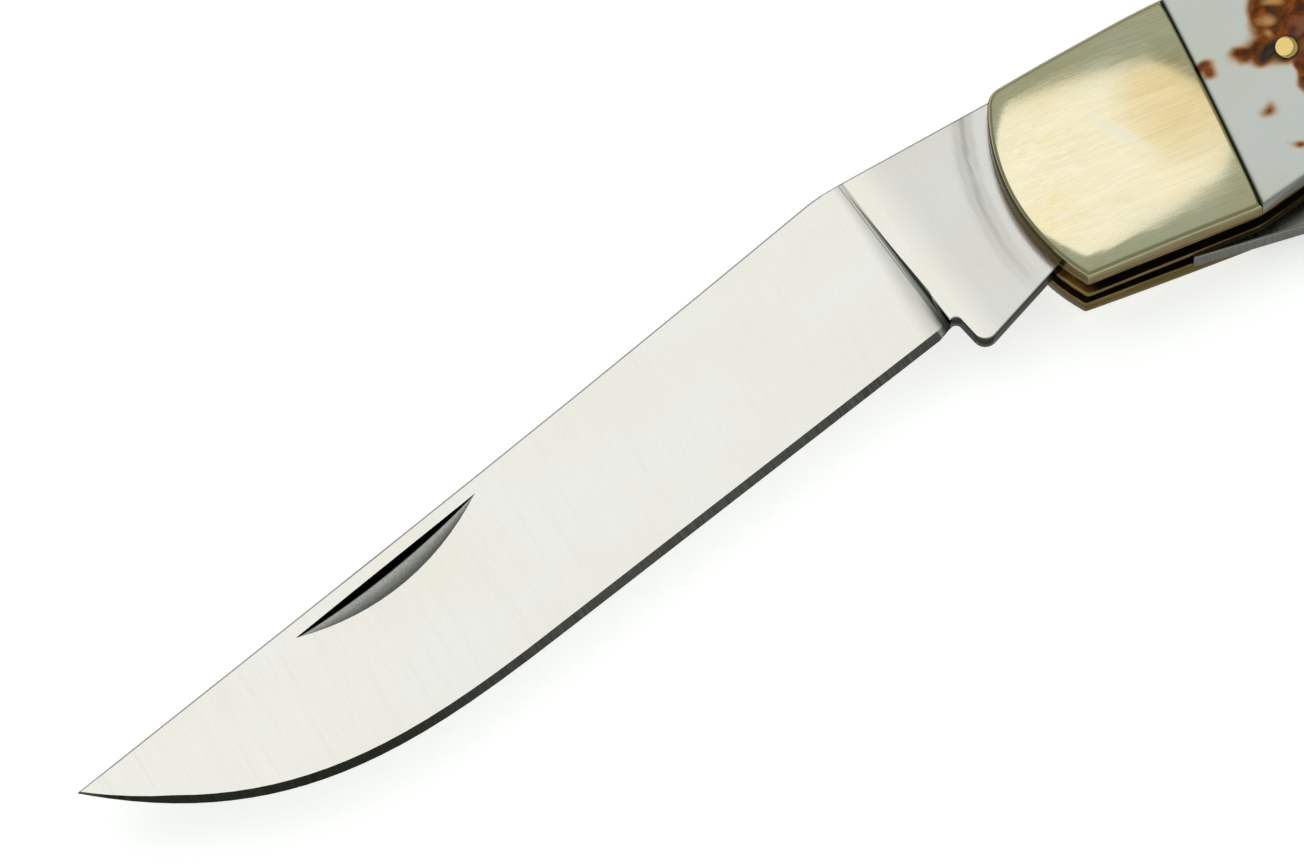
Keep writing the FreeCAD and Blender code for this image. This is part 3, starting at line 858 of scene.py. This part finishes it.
# millimetres: a cover is crowned beside its flat, and falls away along x ahead of and behind its station
bolsterShape = {"rim": 0.36, "middle": 7.85, "flatHalf": 0.0}
frontEnd = {"scaleSide": 1, "station": 6.0, "ahead": 140, "behind": 40}
rearEnd = {"scaleSide": -1, "station": 82.0, "ahead": 40, "behind": 240}
scaleShape = {"rim": 0.35, "middle": 8.9, "flatHalf": 2.4, "crown": 40,
              "station": 46.0, "ahead": 9000, "behind": 9000}
covers = {
    "mark_front_bolster": {"piece": "domedMarkFrontBolster", "crown": 56, **bolsterShape, **frontEnd},
    "pile_front_bolster": {"piece": "domedPileFrontBolster", "crown": 70, **bolsterShape, **frontEnd},
    "mark_rear_bolster": {"piece": "domedMarkRearBolster", "crown": 56, **bolsterShape, **rearEnd},
    "pile_rear_bolster": {"piece": "domedPileRearBolster", "crown": 70, **bolsterShape, **rearEnd},
    "mark_scale": {"piece": "crownedMarkScale", **scaleShape},
    "pile_scale": {"piece": "crownedPileScale", **scaleShape},
}


def boundaryLoops(shape):
    # closed rows of boundary edges, the longest last
    left = {edge for edge in shape.edges if edge.is_boundary}
    loops = []
    while left:
        edge = left.pop()
        loop, ends = [edge], list(edge.verts)
        while ends:
            vert = ends.pop()
            for other in vert.link_edges:
                if other in left:
                    left.remove(other)
                    loop.append(other)
                    ends.append(other.other_vert(vert))
        loops.append(loop)
    return sorted(loops, key=lambda loop: sum(edge.calc_length() for edge in loop))


def clearCorners(shape, clear):
    # drops outline points that stand so near a sharp corner that the rims would cross
    corners = [vert.co.copy() for vert in shape.verts if vert.calc_edge_angle(0) > coverShape["cornerTurn"]]
    near = [vert for vert in shape.verts if any(0 < (vert.co - corner).length < clear for corner in corners)]
    bmesh.ops.dissolve_verts(shape, verts=near)


def planFace(nodeName, joint):
    # one flat face with the cover's outline, its stud and pin holes filled
    shape = copyOf(nodeName)
    flats = [face for face in shape.faces if abs(face.calc_center_median().z - joint) < level]
    others = [face for face in shape.faces if face not in flats]
    bmesh.ops.delete(shape, geom=others, context="FACES")
    for hole in boundaryLoops(shape)[:-1]:
        bmesh.ops.edgeloop_fill(shape, edges=hole)
    bmesh.ops.dissolve_faces(shape, faces=shape.faces[:])
    bmesh.ops.dissolve_limit(shape, angle_limit=coverShape["planTurn"], verts=shape.verts, edges=shape.edges)
    clearCorners(shape, coverShape["cornerClear"])
    for edge in shape.edges[:]:
        cuts = int(edge.calc_length() / coverShape["rimStep"])
        if cuts:
            bmesh.ops.subdivide_edges(shape, edges=[edge], cuts=cuts)
    return shape


def isAt(item, height):
    # whether all of a face or an edge lies at this height
    return all(abs(vert.co.z - height) < tiny for vert in item.verts)


def gridCuts(shape, crest, low, high, step):
    # a grid over the flat face at the crest
    for axis in (0, 1):
        normal = Vector((axis == 0, axis == 1, 0))
        count = int((high[axis] - low[axis]) / step)
        for cut in range(1, count):
            faces = [face for face in shape.faces if isAt(face, crest)]
            edges = {edge for face in faces for edge in face.edges}
            verts = {vert for face in faces for vert in face.verts}
            spot = normal * (low[axis] + cut * (high[axis] - low[axis]) / count)
            sliceAcross(shape, [*verts, *edges, *faces], spot, normal)


def openSides(shape, scaleSide):
    # sides of a bolster's outline that no scale lies against, in plan from the pivot
    shape.faces.ensure_lookup_table()
    sides = []
    for loop in shape.faces[0].loops:
        start, end = loop.vert.co - pivot, loop.link_loop_next.vert.co - pivot
        outward = (end - start).cross(loop.face.normal).normalized()
        if outward.x * scaleSide < coverShape["scaleFacing"]:
            sides.append((start.xy, end.xy))
    return sides


def rollDrop(spot, sides):
    # the buffed roll beside the open sides
    drop = 0.0
    for start, end in sides:
        run = end - start
        share = min(max((spot - start).dot(run) / run.length_squared, 0), 1)
        lack = max(coverShape["rollWidth"] - (start + run * share - spot).length, 0)
        drop = max(drop, lack ** 2 / (2 * coverShape["rollRadius"]))
    return drop


def crownDrop(x, y, cover, sides):
    # how far the crowned face lies below its crest, across the handle, along it and beside its open sides
    centreY = coverShape["pivotDepth"] - coverShape["backRadius"]
    depth = coverShape["backRadius"] - math.hypot(x, y - centreY)
    offset = max(abs(depth - cover["middle"] * mm) - cover["flatHalf"] * mm, 0)
    across = offset ** 2 / (2 * cover["crown"] * mm)
    away = x - cover["station"] * mm
    radius = (cover["ahead"] if away < 0 else cover["behind"]) * mm
    return across + away ** 2 / (2 * radius) + rollDrop(Vector((x, y)), sides)


def crownNormal(spot, cover, sides, up):
    x, y, step = spot.x - pivot.x, spot.y - pivot.y, coverShape["slopeStep"]
    slopeX = (crownDrop(x + step, y, cover, sides) - crownDrop(x - step, y, cover, sides)) / (2 * step)
    slopeY = (crownDrop(x, y + step, cover, sides) - crownDrop(x, y - step, cover, sides)) / (2 * step)
    return Vector((slopeX, slopeY, up)).normalized()


def dressCover(nodeName):
    cover = covers[nodeName]
    low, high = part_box(nodeName)
    mark = nodeName.startswith("mark")
    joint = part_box("mark_liner")[1].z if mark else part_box("pile_liner")[0].z
    up = 1 if mark else -1
    crest = (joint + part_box("pile_liner")[0].z if mark else 0) - up * coverShape["inset"]
    shape = planFace(nodeName, joint)
    sides = openSides(shape, cover["scaleSide"]) if "scaleSide" in cover else []
    raised = bmesh.ops.extrude_face_region(shape, geom=shape.faces[:])["geom"]
    top = [vert for vert in raised if isinstance(vert, bmesh.types.BMVert)]
    bmesh.ops.translate(shape, verts=top, vec=(0, 0, crest - joint))
    bmesh.ops.recalc_face_normals(shape, faces=shape.faces[:])
    rim = [edge for edge in shape.edges if isAt(edge, crest)]
    ease(shape, rim, cover["rim"] * mm, coverShape["rimSegments"])
    gridCuts(shape, crest, low, high, coverShape["gridStep"])
    shape.verts.index_update()
    crowned = {vert.index for vert in shape.verts if abs(vert.co.z - crest) < tiny}
    for vert in shape.verts:
        if abs(vert.co.z - joint) > level:
            vert.co.z -= up * crownDrop(vert.co.x - pivot.x, vert.co.y - pivot.y, cover, sides)
    for face in shape.faces:
        face.smooth = True
    for edge in shape.edges:
        edge.smooth = len(edge.link_faces) == 2 and edge.calc_face_angle() < coverShape["creaseTurn"]
    piece = finishPiece(shape, cover["piece"], nodeName, finishes[slotOf[nodeName]])
    mesh = piece.data
    own = {index: crownNormal(mesh.vertices[index].co, cover, sides, up) for index in crowned}
    mesh.normals_split_custom_set([own.get(loop.vertex_index, (0, 0, 0)) for loop in mesh.loops])
    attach(piece, bodyOf[nodeName])


for nodeName in covers:
    dressCover(nodeName)
print("covers dressed")


# pins that are ground off and brushed over stay just under the bolsters

hiddenPins = {"pivot_pin": "groundPivotPin", "rear_pin": "groundRearPin"}
pinTrim = 0.8 * mm


def trimPin(nodeName, pieceName):
    shape = copyOf(nodeName)
    low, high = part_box(nodeName)
    middle = (low.z + high.z) / 2
    for vert in shape.verts:
        vert.co.z -= math.copysign(pinTrim, vert.co.z - middle)
    markCreases(shape)
    piece = finishPiece(shape, pieceName, nodeName, finishes[slotOf[nodeName]])
    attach(piece, bodyOf[nodeName])


for nodeName, pieceName in hiddenPins.items():
    trimPin(nodeName, pieceName)


# scale pins: a peened dome, filed flat a little to one side

pinHead = {
    "profile": (  # radius and rise above the scale
        (0.0, -1.6),
        (0.74, -1.6),
        (0.87, 0.02),
        (0.82, 0.16),
        (0.67, 0.27),
        (0.44, 0.35),
        (0.2, 0.39),
        (0.0, 0.4),
    ),
    "steps": 40,
    "proud": 0.2,
    "flatHeight": 0.25,
    "flatLean": Vector((-0.16, 0.09, 1.0)),
    "flatEase": 0.04,
    "creaseTurn": math.radians(35),
}


def buildPinHead(nodeName, pieceName):
    low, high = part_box(nodeName)
    centre = Vector(((low.x + high.x) / 2, (low.y + high.y) / 2, high.z - pinHead["proud"] * mm))
    shape = bmesh.new()
    verts = [shape.verts.new(centre + Vector((radius, 0, rise)) * mm) for radius, rise in pinHead["profile"]]
    edges = [shape.edges.new(pair) for pair in zip(verts, verts[1:])]
    bmesh.ops.spin(shape, geom=verts + edges, cent=centre, axis=(0, 0, 1), angle=math.tau,
                   steps=pinHead["steps"], use_merge=True)
    bmesh.ops.remove_doubles(shape, verts=shape.verts, dist=tiny)
    bmesh.ops.recalc_face_normals(shape, faces=shape.faces[:])
    geometry = shape.verts[:] + shape.edges[:] + shape.faces[:]
    filed = centre + Vector((0, 0, pinHead["flatHeight"])) * mm
    bmesh.ops.bisect_plane(shape, geom=geometry, dist=tiny, clear_outer=True, plane_co=filed,
                           plane_no=pinHead["flatLean"])
    rim = [edge for edge in shape.edges if edge.is_boundary]
    bmesh.ops.edgeloop_fill(shape, edges=rim)
    ease(shape, rim, pinHead["flatEase"] * mm)
    markCreases(shape, pinHead["creaseTurn"])
    piece = finishPiece(shape, pieceName, nodeName, finishes[slotOf[nodeName]], evenFlats=True)
    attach(piece, bodyOf[nodeName])


buildPinHead("mark_front_scale_pin", "filedFrontScalePin")
buildPinHead("mark_rear_scale_pin", "filedRearScalePin")
print("pins dressed")


# liners with eased edges

linerEase = {"width": 0.07 * mm, "leastWall": 0.3 * mm}


def dressLiner(nodeName, pieceName):
    shape = copyOf(nodeName)
    ease(shape, outlineEdges(shape, linerEase["leastWall"]), linerEase["width"])
    markCreases(shape)
    piece = finishPiece(shape, pieceName, nodeName, finishes[slotOf[nodeName]], evenFlats=True)
    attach(piece, bodyOf[nodeName])


for nodeName in ("mark_liner", "centre_liner", "pile_liner"):
    dressLiner(nodeName, "eased" + nodeName.title().replace("_", ""))
print("liners dressed")


# springs with eased edges, sliced across at even steps along their length

springBend = {"width": 0.08 * mm, "leastWall": 0.5 * mm, "step": 2.0 * mm}


def dressSpring(nodeName, pieceName):
    shape = copyOf(nodeName)
    low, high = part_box(nodeName)
    ease(shape, outlineEdges(shape, springBend["leastWall"]), springBend["width"])
    count = int((high.x - low.x) / springBend["step"])
    for cut in range(1, count):
        geometry = shape.verts[:] + shape.edges[:] + shape.faces[:]
        spot = Vector((low.x + cut * (high.x - low.x) / count, 0, 0))
        sliceAcross(shape, geometry, spot, (1, 0, 0))
    markCreases(shape)
    piece = finishPiece(shape, pieceName, nodeName, finishes[slotOf[nodeName]], evenFlats=True)
    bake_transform(piece)


dressSpring("main_spring", "bentMainSpring")
dressSpring("spey_spring", "bentSpeySpring")
print("springs dressed")


# floor, light and camera

stageLook = {
    "floorHalf": 4.0,
    "floorDrop": 0.02 * mm,
    "floorColour": (0.62, 0.62, 0.62),
    "whiteLift": 0.6,
    "ambient": (0.38, 0.43, 0.385),
}


def seenDirectly(tree):
    # 1 for rays that show the stage as a background
    path = tree.nodes.new("ShaderNodeLightPath")
    seen = mathNode(tree, "MAXIMUM", path.outputs["Is Camera Ray"], path.outputs["Is Glossy Ray"])
    return mathNode(tree, "MAXIMUM", seen, path.outputs["Is Transmission Ray"])


def buildFloor():
    mesh = bpy.data.meshes.new("paleFloor")
    shape = bmesh.new()
    bmesh.ops.create_grid(shape, x_segments=1, y_segments=1, size=stageLook["floorHalf"],
                          matrix=Matrix.Translation((0, 0, -stageLook["floorDrop"])))
    shape.to_mesh(mesh)
    shape.free()
    floor = bpy.data.objects.new("paleFloor", mesh)
    bpy.context.scene.collection.objects.link(floor)
    material, tree, shader = startMaterial("paleFloor", roughness=1.0)
    shader.inputs["Base Color"].default_value = (*stageLook["floorColour"], 1)
    shader.inputs["Specular IOR Level"].default_value = 0
    shader.inputs["Emission Color"].default_value = (1, 1, 1, 1)
    lift = product(tree, seenDirectly(tree), stageLook["whiteLift"])
    tree.links.new(lift, shader.inputs["Emission Strength"])
    mesh.materials.append(material)


photoView = {
    "azimuth": math.radians(-30.1),
    "elevation": math.radians(72),
    "aim": Vector((-42.94, 4.77, 5.04)) * mm,
    "frameWidth": 95.88 * mm,
    "distance": 2.4,
    "sensor": 36.0,
    "clip": (0.1, 10),
}


def buildCamera():
    azimuth, elevation = photoView["azimuth"], photoView["elevation"]
    back = Vector((math.sin(azimuth) * math.cos(elevation), -math.cos(azimuth) * math.cos(elevation),
                   math.sin(elevation)))
    data = bpy.data.cameras.new("photoCamera")
    data.sensor_width = photoView["sensor"]
    data.lens = photoView["sensor"] * photoView["distance"] / photoView["frameWidth"]
    data.clip_start, data.clip_end = photoView["clip"]
    camera = bpy.data.objects.new("photoCamera", data)
    camera.location = photoView["aim"] + back * photoView["distance"]
    camera.rotation_euler = (-back).to_track_quat("-Z", "Y").to_euler()
    bpy.context.scene.collection.objects.link(camera)
    bpy.context.scene.camera = camera


# directions point from the knife to the lamp, sizes are in metres, the turn is that of the long side in plan
lamps = {
    "softbox": {"toward": (-0.13, 0.27, 0.95), "away": 1.6, "size": (1.54, 0.85), "turn": math.radians(-14),
                "shape": "ELLIPSE", "radiance": 0.68, "colour": (1.0, 0.94, 0.97), "inReflections": True},
    "fill": {"toward": (0.2, 0.1, 0.97), "away": 1.2, "size": (1.6, 1.6), "turn": 0.0,
             "shape": "DISK", "radiance": 1.1, "colour": (1.0, 1.0, 1.0), "inReflections": False},
}


def buildLight():
    world = bpy.data.worlds.new("studio")
    world.use_nodes = True
    world.node_tree.nodes["Background"].inputs["Color"].default_value = (*stageLook["ambient"], 1)
    bpy.context.scene.world = world
    for name, lamp in lamps.items():
        data = bpy.data.lights.new(name, "AREA")
        data.shape = lamp["shape"]
        data.size, data.size_y = lamp["size"]
        area = data.size * data.size_y * math.pi / 4
        data.energy = lamp["radiance"] * math.pi * area
        data.color = lamp["colour"]
        light = bpy.data.objects.new(name, data)
        toward = Vector(lamp["toward"]).normalized()
        light.location = toward * lamp["away"]
        across = toward.cross((math.cos(lamp["turn"]), math.sin(lamp["turn"]), 0)).normalized()
        light.rotation_euler = Matrix((across.cross(toward), across, toward)).transposed().to_euler()
        light.visible_glossy = lamp["inReflections"]
        bpy.context.scene.collection.objects.link(light)


buildFloor()
buildCamera()
buildLight()
bpy.context.scene.view_settings.view_transform = "Standard"
print("stage ready")
